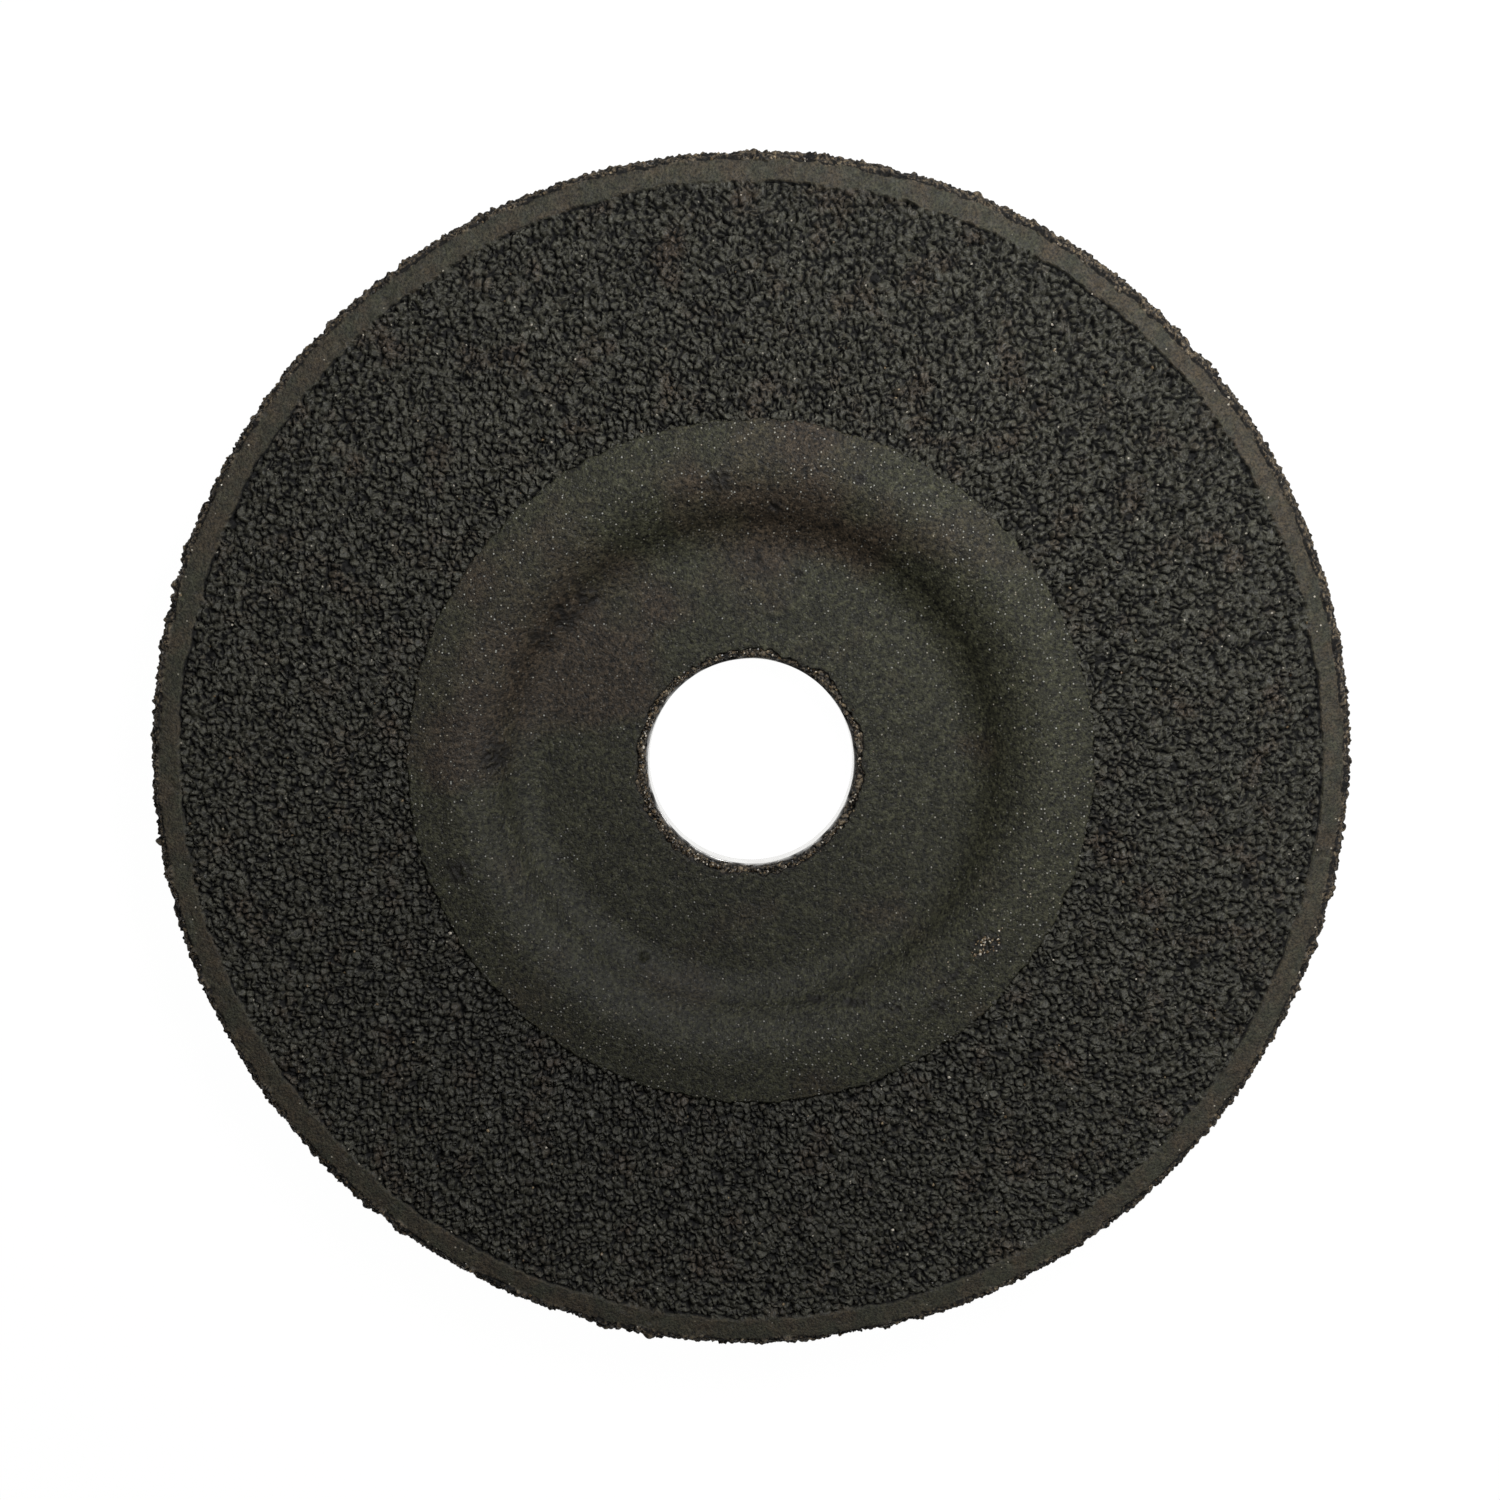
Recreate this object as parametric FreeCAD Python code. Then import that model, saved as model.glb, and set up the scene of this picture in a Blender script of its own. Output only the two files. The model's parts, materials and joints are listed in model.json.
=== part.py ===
"""Depressed-centre grinding disc for an angle grinder, as a bonded laminate of separate pieces.

Units are millimetres. +Z is the spin axis and points to the working face, whose centre is
recessed. The origin is on that axis, in the plane of the centre ring's back flange, which is the
face that the grinder's flange clamps. Every layer follows the same dish: a flat hub, an S-bend
of two tangent arcs, and a flat annulus.
"""
import FreeCAD, Part
import math
import os

# Overall sizes
outer_diameter = 125.0
bore_diameter = 22.23
clamped_thickness = 5.0
annulus_thickness = 6.0
recess_depth = 4.6
edge_chamfer_width = 0.9
edge_chamfer_height = 1.2

# The S-bend between the flat hub and the flat annulus: a hollow arc, then a crowned one
hub_floor_radius = 21.8
hollow_arc_width = 4.1
crown_arc_width = 6.3

# Steel centre ring
ring_wall = 0.35
ring_barrel_length = 3.6
ring_flange_width = 4.0
ring_flange_thickness = 0.3

# Hub facing, the smooth skin in the recess of the working face
facing_past_bend = 3.5
facing_thickness = 0.3

# Paper label on the back
label_edge_margin = 12.5
label_thickness = 0.15
label_gap_to_flange = 0.3

# Glass-fibre nets
yarn_width = 1.2
yarn_thickness = 0.25
yarn_pitch = 5.0
net_edge_margin = 1.0
hub_net_inset = 2.0

# Back half of the abrasive
back_layer_hub_thickness = 2.2
back_layer_rim_thickness = 2.8

# Worked out from the sizes above
outer_radius = outer_diameter / 2
bore_radius = bore_diameter / 2
laminate_bore_radius = bore_radius + ring_wall
ring_flange_radius = laminate_bore_radius + ring_flange_width
steepest_radius = hub_floor_radius + hollow_arc_width
bend_end_radius = steepest_radius + crown_arc_width
facing_radius = bend_end_radius + facing_past_bend
hub_net_radius = facing_radius - hub_net_inset
label_radius = outer_radius - label_edge_margin
net_radius = outer_radius - net_edge_margin
net_thickness = 2 * yarn_thickness

Z_AXIS = FreeCAD.Vector(0, 0, 1)
ORIGIN = FreeCAD.Vector(0, 0, 0)


def surface(z_hub, z_rim):
    """One dished surface, as its heights at the hub and at the annulus."""
    return {"hub": z_hub, "rim": z_rim}


def raised(base, height):
    """A dished surface that lies the same height above another all over."""
    return surface(base["hub"] + height, base["rim"] + height)


front_height = clamped_thickness + recess_depth
front_face = surface(clamped_thickness, front_height)
back_face = surface(ring_flange_thickness, front_height - annulus_thickness)
layer_joint = surface(
    back_face["hub"] + back_layer_hub_thickness,
    back_face["rim"] + back_layer_rim_thickness,
)
facing_back = raised(front_face, -facing_thickness)


def point(radius, height):
    return FreeCAD.Vector(radius, 0, height)


def line(start, end):
    return Part.LineSegment(start, end).toShape()


def dish_edges(dish, inner_radius, outer_radius):
    """The outline of a dished surface in the XZ plane, from the inner radius outwards."""
    rise = dish["rim"] - dish["hub"]
    steepest = 2 * math.atan(rise / (hollow_arc_width + crown_arc_width))
    hollow_radius = hollow_arc_width / math.sin(steepest)
    crown_radius = crown_arc_width / math.sin(steepest)

    def hollow(angle):
        return point(
            hub_floor_radius + hollow_radius * math.sin(angle),
            dish["hub"] + hollow_radius * (1 - math.cos(angle)),
        )

    def crown(angle):
        return point(
            bend_end_radius - crown_radius * math.sin(angle),
            dish["rim"] - crown_radius * (1 - math.cos(angle)),
        )

    return [
        line(point(inner_radius, dish["hub"]), hollow(0)),
        Part.Arc(hollow(0), hollow(steepest / 2), hollow(steepest)).toShape(),
        Part.Arc(crown(steepest), crown(steepest / 2), crown(0)).toShape(),
        line(crown(0), point(outer_radius, dish["rim"])),
    ]


def revolved(edges):
    """A solid of revolution from a closed outline in the XZ plane."""
    outline = Part.Wire(Part.__sortEdges__(edges))
    return Part.Face(outline).revolve(ORIGIN, Z_AXIS, 360)


def polygon_edges(points):
    closed = points + points[:1]
    return [line(start, end) for start, end in zip(closed, closed[1:])]


def dished_layer(lower, upper, inner_radius, outer_radius, chamfer=(0.0, 0.0)):
    """The solid between two dished surfaces. The chamfer is the width and height of a bevel on
    its upper outer edge."""
    width, height = chamfer
    top_edge = point(outer_radius - width, upper["rim"])
    wall_top = point(outer_radius, upper["rim"] - height)
    edges = dish_edges(lower, inner_radius, outer_radius)
    edges += dish_edges(upper, inner_radius, outer_radius - width)
    edges.append(line(point(inner_radius, lower["hub"]), point(inner_radius, upper["hub"])))
    edges.append(line(point(outer_radius, lower["rim"]), wall_top))
    if width > 0:
        edges.append(line(wall_top, top_edge))
    return revolved(edges)


def yarns(lower, radius, direction):
    """One direction of a net: parallel flat yarns that lie on a dished surface."""
    shell = dished_layer(lower, raised(lower, yarn_thickness), laminate_bore_radius, radius)
    last = math.floor(radius / yarn_pitch - 0.5)
    length = 2 * outer_radius
    strips = []
    for step in range(-last - 1, last + 1):
        offset = (step + 0.5) * yarn_pitch
        strip = Part.makeBox(yarn_width, length, front_height)
        strip.translate(FreeCAD.Vector(offset - yarn_width / 2, -length / 2, 0))
        strips.append(strip)
    bars = Part.makeCompound(strips)
    if direction == "weft":
        bars.rotate(ORIGIN, Z_AXIS, 90)
    return shell.common(bars)


def net(lower, radius):
    """A glass-fibre net: its warp yarns, and its weft yarns on top of them."""
    return {
        "warp": yarns(lower, radius, "warp"),
        "weft": yarns(raised(lower, yarn_thickness), radius, "weft"),
    }


def centre_ring():
    """The pressed steel ring: a barrel in the bore and a flat flange on the back of the hub."""
    return revolved(polygon_edges([
        point(bore_radius, 0),
        point(ring_flange_radius, 0),
        point(ring_flange_radius, ring_flange_thickness),
        point(laminate_bore_radius, ring_flange_thickness),
        point(laminate_bore_radius, ring_barrel_length),
        point(bore_radius, ring_barrel_length),
    ]))


def paper_label():
    """The thin paper disc on the back, cut clear of the ring's flange."""
    return dished_layer(
        raised(back_face, -label_thickness),
        back_face,
        ring_flange_radius + label_gap_to_flange,
        label_radius,
    )


def hub_facing():
    """The smooth resin skin that covers the hub and the bend on the working face."""
    return dished_layer(facing_back, front_face, laminate_bore_radius, facing_radius)


def front_abrasive_layer(centre_net, hub_net):
    """The working half of the abrasive, pressed round the centre net and under the facing."""
    layer = dished_layer(
        layer_joint,
        front_face,
        laminate_bore_radius,
        outer_radius,
        chamfer=(edge_chamfer_width, edge_chamfer_height),
    )
    embedded = list(centre_net.values()) + list(hub_net.values())
    return layer.cut([hub_facing()] + embedded)


def back_abrasive_layer(back_net):
    """The back half of the abrasive, pressed into the meshes of the back net."""
    layer = dished_layer(back_face, layer_joint, laminate_bore_radius, outer_radius)
    return layer.cut(list(back_net.values()))


def build():
    back_net = net(back_face, net_radius)
    centre_net = net(layer_joint, net_radius)
    hub_net = net(raised(facing_back, -net_thickness), hub_net_radius)
    nodes = {
        "centre_ring": centre_ring(),
        "paper_label": paper_label(),
        "hub_facing": hub_facing(),
        "front_abrasive_layer": front_abrasive_layer(centre_net, hub_net),
        "back_abrasive_layer": back_abrasive_layer(back_net),
    }
    for name, pieces in (("back", back_net), ("centre", centre_net), ("hub", hub_net)):
        for direction, shape in pieces.items():
            nodes[f"{name}_net_{direction}"] = shape
    return nodes


os.makedirs("parts", exist_ok=True)
for node, shape in build().items():
    shape.exportStep(f"parts/{node}.step")
    print(node, "solids", len(shape.Solids), "valid", shape.isValid(), "volume", round(shape.Volume, 1))
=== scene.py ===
"""Blender scene of the depressed-centre grinding disc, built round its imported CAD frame.

Every size below is in millimetres and every height is above the back of the centre ring. The disc lies
with its working face up. Its looks are made in four layers: relief fields, which say how far the real
surface lies above or below the CAD surface, the closed pieces that carry them, loose grains, and
materials.
"""
import itertools
import json
import math

import bpy
import numpy as np
from mathutils import Matrix, Vector


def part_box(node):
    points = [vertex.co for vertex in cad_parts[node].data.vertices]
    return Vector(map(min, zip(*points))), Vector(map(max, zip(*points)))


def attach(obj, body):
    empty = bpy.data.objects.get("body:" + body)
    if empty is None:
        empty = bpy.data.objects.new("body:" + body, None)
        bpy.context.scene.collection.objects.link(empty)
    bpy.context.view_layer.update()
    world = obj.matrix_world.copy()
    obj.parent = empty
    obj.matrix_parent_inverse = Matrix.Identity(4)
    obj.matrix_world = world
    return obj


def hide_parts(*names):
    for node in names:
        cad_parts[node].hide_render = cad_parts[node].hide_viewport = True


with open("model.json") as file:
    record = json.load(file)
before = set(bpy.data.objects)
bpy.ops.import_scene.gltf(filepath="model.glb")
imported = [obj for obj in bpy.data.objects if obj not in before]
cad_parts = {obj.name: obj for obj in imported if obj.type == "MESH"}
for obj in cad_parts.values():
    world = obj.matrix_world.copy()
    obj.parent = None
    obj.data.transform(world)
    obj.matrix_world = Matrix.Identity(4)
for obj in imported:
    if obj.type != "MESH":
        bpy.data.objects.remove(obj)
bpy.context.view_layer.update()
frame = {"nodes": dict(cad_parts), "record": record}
MM = 0.001


# Sizes read from the frame

def low(node):
    """Lowest corner of a CAD node, in mm."""
    return Vector(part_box(node)[0]) / MM


def high(node):
    """Highest corner of a CAD node, in mm."""
    return Vector(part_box(node)[1]) / MM


bore_mount = next(m for m in frame["record"]["mounts"] if m["name"] == "centre_bore")
outer_radius = high("front_abrasive_layer").x
facing_radius = high("hub_facing").x
bore_radius = bore_mount["dims"]["r_mm"]
ring_length = high("centre_ring").z
flange_radius = high("centre_ring").x
label_radius = high("paper_label").x
label_thickness = low("back_abrasive_layer").z - low("paper_label").z
yarn_thickness = low("back_net_weft").z - low("back_net_warp").z
net_radius = high("back_net_warp").y

# Sizes that the frame's boxes don't show
hub_height = 5.0
hub_floor_radius = 21.8
hollow_width = 4.1
crown_width = 6.3
ring_wall = 0.35
laminate_bore_radius = bore_radius + ring_wall
label_gap_to_flange = 0.3
band_inner_radius = 59.4
band_outer_radius = 61.6
edge_chamfer_height = 1.2
yarn_width = 1.2
yarn_pitch = 5.0

# Dished surfaces, each by its height at the hub and its height at the rim
face = (hub_height, high("front_abrasive_layer").z)
facing_thickness = hub_height - low("hub_facing").z
facing_back = (low("hub_facing").z, face[1] - facing_thickness)
joint = (low("front_abrasive_layer").z, high("back_abrasive_layer").z)
back = (low("back_abrasive_layer").z, high("paper_label").z)

# Grids: columns go round the disc, rows go along its section
COLUMNS = 2624
FRONT_WEDGES = 8
BACK_WEDGES = 4
HUB_WEDGES = 4
BORE_WEDGES = 2
FINE_STEP = 0.125
COARSE_STEP = 0.46


# Repeatable random numbers

LATTICE_FACTORS = (374761393, 668265263, 1103515245)
LATTICE_MASK = 0xFFFFFFFF


def lattice(cells, seed):
    """A repeatable random number from 0 to 1 for each row of whole numbers."""
    mixed = np.full(cells.shape[:-1], seed * 1442695041, np.int64)
    for axis in range(cells.shape[-1]):
        mixed += cells[..., axis] * LATTICE_FACTORS[axis]
    mixed &= LATTICE_MASK
    mixed = ((mixed ^ (mixed >> 13)) * 1274126177) & LATTICE_MASK
    mixed = ((mixed ^ (mixed >> 16)) * 668265263) & LATTICE_MASK
    return (mixed ^ (mixed >> 15)) / (LATTICE_MASK + 1)


def lattice_noise(points, pitch, seed):
    """Smooth random values from 0 to 1 between the corners of a square lattice."""
    scaled = points / pitch
    cells = np.floor(scaled).astype(np.int64)
    part = scaled - cells
    part = part * part * (3 - 2 * part)
    total = 0
    for corner in itertools.product((0, 1), repeat=points.shape[-1]):
        weight = np.prod(np.where(corner, part, 1 - part), axis=-1)
        total = total + weight * lattice(cells + np.array(corner), seed)
    return total


def turned(points, angle):
    """Points turned about the first two axes, and about the last two if there are three."""
    moved = points.copy()
    for first in range(points.shape[-1] - 1):
        a = moved[..., first].copy()
        b = moved[..., first + 1].copy()
        moved[..., first] = a * math.cos(angle) - b * math.sin(angle)
        moved[..., first + 1] = a * math.sin(angle) + b * math.cos(angle)
    return moved


def noise(points, pitch, seed):
    """Smooth random values from about -1 to 1, with a hump or hollow about every pitch, at all slants."""
    one = lattice_noise(turned(points, 0.7 * seed), pitch, seed)
    other = lattice_noise(turned(points, 0.7 * seed + 0.9), pitch * 0.93, seed + 500)
    return 1.5 * (one + other - 1)


def scatter(points, pitch, seed, reach):
    """Distance to the nearest of scattered centres and to the next, its cell, and the offset from it."""
    base = np.floor(points / pitch).astype(np.int64)
    axes = points.shape[-1]
    first = np.full(points.shape[:-1], np.inf)
    second = first.copy()
    owner = base.copy()
    offset = np.zeros_like(points)
    for step in itertools.product(range(-reach, reach + 1), repeat=axes):
        cell = base + np.array(step)
        centre = np.stack([lattice(cell, seed + 1 + axis) for axis in range(axes)], -1)
        away = points - (cell + centre) * pitch
        distance = np.sqrt((away ** 2).sum(-1))
        nearer = distance < first
        second = np.where(nearer, first, np.minimum(second, distance))
        first = np.where(nearer, distance, first)
        owner[nearer] = cell[nearer]
        offset[nearer] = away[nearer]
    return first, second, owner, offset


def ramp(value, start, end):
    """0 before start, 1 after end and smooth between them. It falls if end is below start."""
    part = np.clip((value - start) / (end - start), 0, 1)
    return part * part * (3 - 2 * part)


def bell(distance, width):
    """1 at no distance, falling to almost nothing past twice the width."""
    return np.exp(-((distance / width) ** 2))


def arc_from(angle, degrees):
    """Angle round the disc from a direction in degrees, in radians from 0 to pi."""
    return np.abs((angle - math.radians(degrees) + math.pi) % (2 * math.pi) - math.pi)


# Sections of the disc

def dished(radius, hub_z, rim_z):
    """Height of a layer's surface: flat hub, hollow arc, crown arc, flat annulus."""
    slope = 2 * math.atan((rim_z - hub_z) / (hollow_width + crown_width))
    hollow_radius = hollow_width / math.sin(slope)
    crown_radius = crown_width / math.sin(slope)
    past_floor = np.clip(radius - hub_floor_radius, 0, hollow_width)
    to_annulus = np.clip(hub_floor_radius + hollow_width + crown_width - radius, 0, crown_width)
    hollow = hub_z + hollow_radius - np.sqrt(hollow_radius ** 2 - past_floor ** 2)
    crown = rim_z - crown_radius + np.sqrt(crown_radius ** 2 - to_annulus ** 2)
    return np.where(radius < hub_floor_radius + hollow_width, hollow, crown)


def run(start, end, step):
    """Evenly spaced numbers from start up to but without end, about a step apart."""
    count = max(1, round(abs(end - start) / step))
    return start + (end - start) * np.arange(count) / count


def straight(start, end, step):
    """Points of a section along a straight line, without the last."""
    start = np.array(start, float)
    end = np.array(end, float)
    length = np.hypot(*(end - start))
    return start + (end - start) * (run(0, length, step) / length)[:, None]


def along_dish(start, end, hub_z, rim_z, step):
    """Points of a section along a dished surface, without the last."""
    radii = run(start, end, step)
    return np.stack([radii, dished(radii, hub_z, rim_z)], -1)


def outward(section, soften):
    """Unit normals of a clockwise section, with corners softened over some rows each side."""
    step = np.roll(section, -1, 0) - np.roll(section, 1, 0)
    normals = np.stack([-step[:, 1], step[:, 0]], -1)
    normals /= np.linalg.norm(normals, axis=1, keepdims=True)
    for _ in range(soften):
        normals = (np.roll(normals, 1, 0) + 2 * normals + np.roll(normals, -1, 0)) / 4
    return normals / np.linalg.norm(normals, axis=1, keepdims=True)


class Section:
    """A closed section swept round the disc: the rows that show come first, then the hidden ones."""

    def __init__(self, shown, hidden, columns, soften=3):
        self.rows = np.concatenate([shown, hidden])
        self.shown = len(shown)
        self.columns = columns
        self.angles = 2 * math.pi * np.arange(columns) / columns
        self.cosine = np.cos(self.angles)[None, :]
        self.sine = np.sin(self.angles)[None, :]
        self.normals = outward(self.rows, soften)

    def circle(self, radius):
        """Points on a circle, one for each column, so that an edge can wander round it."""
        return radius * np.stack([self.cosine, self.sine], -1)

    def radius_and_height(self):
        """Radius and height of each shown row, one column of each."""
        return self.rows[: self.shown, 0][:, None], self.rows[: self.shown, 1][:, None]

    def points(self, radii=None):
        """Points of the shown rows on the undisplaced surface, rows by columns."""
        radius, height = self.radius_and_height()
        radius = radius if radii is None else radii
        flat = (radius * self.cosine, radius * self.sine)
        return np.stack(np.broadcast_arrays(*flat, height), -1)

    def lift(self, relief, radii=None):
        """The whole grid of points, with the shown rows lifted along the section's normals."""
        moved = np.broadcast_to(self.rows[:, 0][:, None], (len(self.rows), self.columns)).copy()
        if radii is not None:
            moved[: self.shown] = radii
        height = np.broadcast_to(self.rows[:, 1][:, None], moved.shape).copy()
        moved[: self.shown] += relief * self.normals[: self.shown, 0][:, None]
        height[: self.shown] += relief * self.normals[: self.shown, 1][:, None]
        return np.stack([moved * self.cosine, moved * self.sine, height], -1)


def grid_normals(grid):
    """Normals of a grid that closes on itself along its rows and its columns."""
    along = np.roll(grid, -1, 0) - np.roll(grid, 1, 0)
    around = np.roll(grid, -1, 1) - np.roll(grid, 1, 1)
    normals = np.cross(along, around)
    return normals / np.maximum(np.linalg.norm(normals, axis=-1, keepdims=True), 1e-9)


# Meshes

def add_piece(name, points, faces, corner_uv, look, normals=None, fields=None, smooth=True):
    """Builds a piece that rides on the disc in place of a CAD node.

    It takes points in mm, lists of faces of one size each, the UV of each corner, the look, which is
    a material, a slot name that is not used, and the node, and values for each point.
    """
    mesh = bpy.data.meshes.new(name)
    corners = np.concatenate([group.ravel() for group in faces])
    sizes = np.concatenate([np.full(len(group), group.shape[1]) for group in faces])
    mesh.vertices.add(len(points))
    mesh.vertices.foreach_set("co", (points * MM).astype(np.float32).ravel())
    mesh.loops.add(len(corners))
    mesh.loops.foreach_set("vertex_index", corners.astype(np.int32))
    mesh.polygons.add(len(sizes))
    mesh.polygons.foreach_set("loop_start", (np.cumsum(sizes) - sizes).astype(np.int32))
    mesh.polygons.foreach_set("use_smooth", np.full(len(sizes), smooth))
    mesh.update(calc_edges=True)
    layer = mesh.uv_layers.new(name="OFBake")
    layer.data.foreach_set("uv", corner_uv.astype(np.float32).ravel())
    for field, values in (fields or {}).items():
        made = mesh.attributes.new(field, "FLOAT", "POINT")
        made.data.foreach_set("value", values.astype(np.float32).ravel())
    if normals is not None:
        mesh.normals_split_custom_set_from_vertices(normals.reshape(-1, 3).tolist())
    material, slot, node = look
    mesh.materials.append(material)
    piece = bpy.data.objects.new(name, mesh)
    bpy.context.scene.collection.objects.link(piece)
    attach(piece, "root")
    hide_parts(node)


def quads_of(rows, columns, wrap_rows, wrap_columns):
    """Faces of a grid, which may close on itself along its rows, its columns or both."""
    row = np.arange(rows if wrap_rows else rows - 1)[:, None]
    column = np.arange(columns if wrap_columns else columns - 1)[None, :]
    next_row = (row + 1) % rows
    next_column = (column + 1) % columns
    corners = [row * columns + column, next_row * columns + column,
               next_row * columns + next_column, row * columns + next_column]
    return np.stack(corners, -1).reshape(-1, 4)


def grid_uv(section, columns):
    """UV of each quad's corners, with the hidden rows of the section in a thin strip."""
    rows = len(section.rows)
    along = np.linalg.norm(np.roll(section.rows, -1, 0) - section.rows, axis=1)
    along[section.shown:] *= 0.05
    v = np.concatenate([[0], np.cumsum(along)])
    v = v / v[-1]
    u = np.arange(columns) / (columns - 1)
    low_v = np.broadcast_to(v[:rows, None], (rows, columns - 1))
    high_v = np.broadcast_to(v[1:, None], (rows, columns - 1))
    low_u = np.broadcast_to(u[None, :-1], (rows, columns - 1))
    high_u = np.broadcast_to(u[None, 1:], (rows, columns - 1))
    pairs = [(low_u, low_v), (low_u, high_v), (high_u, high_v), (high_u, low_v)]
    corners = np.stack([np.stack(pair, -1) for pair in pairs], -2)
    return corners.reshape(-1, 2)


def wedges(name, count, section, grid, fields, look):
    """Cuts a full ring into closed wedges, whose shading runs on across the cuts."""
    normals = grid_normals(grid)
    rows = len(section.rows)
    width = section.columns // count
    for number in range(count):
        picked = (number * width + np.arange(width + 1)) % section.columns
        quads = quads_of(rows, width + 1, True, False)
        ends = np.arange(rows) * (width + 1)
        caps = np.stack([ends[::-1], ends + width])
        cap_uv = np.full((2 * rows, 2), 0.99)
        corner_uv = np.concatenate([grid_uv(section, width + 1), cap_uv])
        hidden_part = np.zeros((rows - section.shown, width + 1))
        values = {field: np.concatenate([whole[:, picked], hidden_part]) for field, whole in fields.items()}
        add_piece(f"{name}_{number + 1}", grid[:, picked].reshape(-1, 3), [quads, caps], corner_uv, look,
                  normals[:, picked], values)


# Relief fields of the abrasive

def pebbles(flat):
    """The moulded lumps: their height and how deep among the crevices each point lies, which is also where
    shade is painted.
    """
    warp = np.stack([noise(flat, 0.6, 11), noise(flat, 0.6, 12)], -1)
    warped = flat + 0.2 * warp
    first, second, owner, offset = scatter(warped, 0.74, 20, 2)
    open_part = 0.3 + 0.7 * ramp(noise(flat, 0.5, 13), -0.3, 0.15)
    crevice = np.exp(-((second - first) / 0.13) ** 1.5) * open_part
    worms = ramp(np.abs(noise(warped, 0.6, 16)), 0.12, 0.0) * ramp(noise(flat, 0.5, 18), -0.05, 0.2)
    crevice = np.maximum(crevice, 0.85 * worms)
    tilt = np.stack([lattice(owner, 31), lattice(owner, 32)], -1) - 0.5
    lean = (tilt * offset).sum(-1)
    own_height = lattice(owner, 33) - 0.5
    dome = -0.4 * first ** 2
    roundness = 0.04 * noise(warped, 0.42, 19) + 0.02 * noise(warped, 0.26, 17)
    broad = 0.05 * noise(flat, 3.5, 14)
    height = -0.6 * crevice + 1.25 * lean + 0.18 * own_height + dome + roundness + broad - 0.06
    return height, np.clip(crevice * 1.25, 0, 1)


def smooth_band(points, radius, angle):
    """The flat band round the face: slight waves and a few hairline cracks."""
    waves = 0.03 * noise(points, 2.2, 51) + 0.025 * noise(points, 0.6, 52) + 0.015 * noise(points, 0.3, 57)
    waves = waves - 0.12 * np.clip(noise(points, 0.8, 58) * 2.2 - 1.15, 0, 1)
    cracks = 0
    for degrees in (12, 27, 97, 351):
        wander = 0.2 * noise(points, 0.9, 53)
        cracks = cracks + bell(arc_from(angle, degrees) * radius + wander, 0.09)
    return waves - 0.14 * np.clip(cracks, 0, 1)


def broken_grit(points, pitch, seed):
    """The broken edge of bonded grit: faceted grains, gaps between them and larger chips."""
    first, second, owner, offset = scatter(points, pitch, seed, 1)
    gap = np.exp(-(second - first) / (0.14 * pitch))
    tilt = np.stack([lattice(owner, seed + 7 + axis) for axis in range(3)], -1) - 0.5
    facet = (tilt * offset).sum(-1)
    own_height = lattice(owner, seed + 5) - 0.5
    chips = np.clip(noise(points, 2.1, seed + 6) * 1.6 - 0.45, 0, 1)
    lumps = np.clip(noise(points, 1.3, seed + 8) * 1.6 - 0.75, 0, 1)
    height = 0.28 * own_height + 0.8 * facet - 0.16 * gap - 0.38 * chips + 0.4 * lumps
    # The second value is painted shade for the gaps between grains and for the chips.
    return height, np.clip(gap + 0.5 * chips, 0, 1)


# Broken grit of the rim, which runs on from one layer to the other
RIM_GRIT_PITCH = 0.5
RIM_GRIT_SEED = 70
RIM_GRIT_RISE = 0.2


def edge_grit_start(circle):
    """Radius at which the smooth band breaks off into grit."""
    angle = np.arctan2(circle[..., 1], circle[..., 0])
    lit_side = bell(arc_from(angle, 48), 0.75)
    return band_outer_radius + 0.22 * noise(circle, 1.9, 61) + 0.14 * noise(circle, 0.7, 62) - 0.3 * lit_side


def face_relief(section):
    """Relief of the working face and rim, the shade painted in its crevices, gaps and grooves, and shares of
    band and of grit.
    """
    points = section.points()
    radius, height = section.radius_and_height()
    along = radius + np.maximum(face[1] - height, 0)
    angle = section.angles[None, :] + 0 * radius
    circle = section.circle(band_inner_radius)
    lumps, crevice = pebbles(points[..., :2])
    band_start = band_inner_radius + 0.2 * noise(circle, 2.3, 54) + 0.12 * noise(circle, 0.8, 55)
    is_band = ramp(along, band_start - 0.08, band_start + 0.1)
    # The groove at the band's inner edge, and the shadow painted in it, reach further round on the upper
    # right, toward the key lamp.
    groove_part = np.clip(noise(circle, 3.0, 56) * 2.0 + 0.1 + 0.35 * bell(arc_from(angle, 45), 0.9), 0, 1)
    groove = bell(along - band_start + 0.05, 0.09) * groove_part
    grit_start = edge_grit_start(circle)
    is_grit = ramp(along, grit_start - 0.06, grit_start + 0.12)
    grit, gap = broken_grit(points, RIM_GRIT_PITCH, RIM_GRIT_SEED)
    relief = lumps * (1 - is_band) + smooth_band(points, radius, angle) * is_band - 0.3 * groove
    relief = relief * (1 - is_grit) + (grit + RIM_GRIT_RISE) * is_grit
    relief -= 0.35 * ramp(radius, facing_radius - 0.25, facing_radius - 0.4)
    # Painted shade in the crevices, the groove and the grit's gaps.
    shade = crevice * (1 - is_band) + 0.9 * groove
    shade = shade * (1 - is_grit) + gap * is_grit
    # A dip where the band breaks into grit, darkened with painted shade.
    break_line = bell(along - grit_start - 0.12, 0.12) * ramp(noise(circle, 1.4, 64), -0.4, 0.2)
    relief -= 0.22 * break_line
    shade += 0.55 * break_line
    return relief, np.clip(shade, 0, 1), is_band * (1 - is_grit), is_grit


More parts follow.
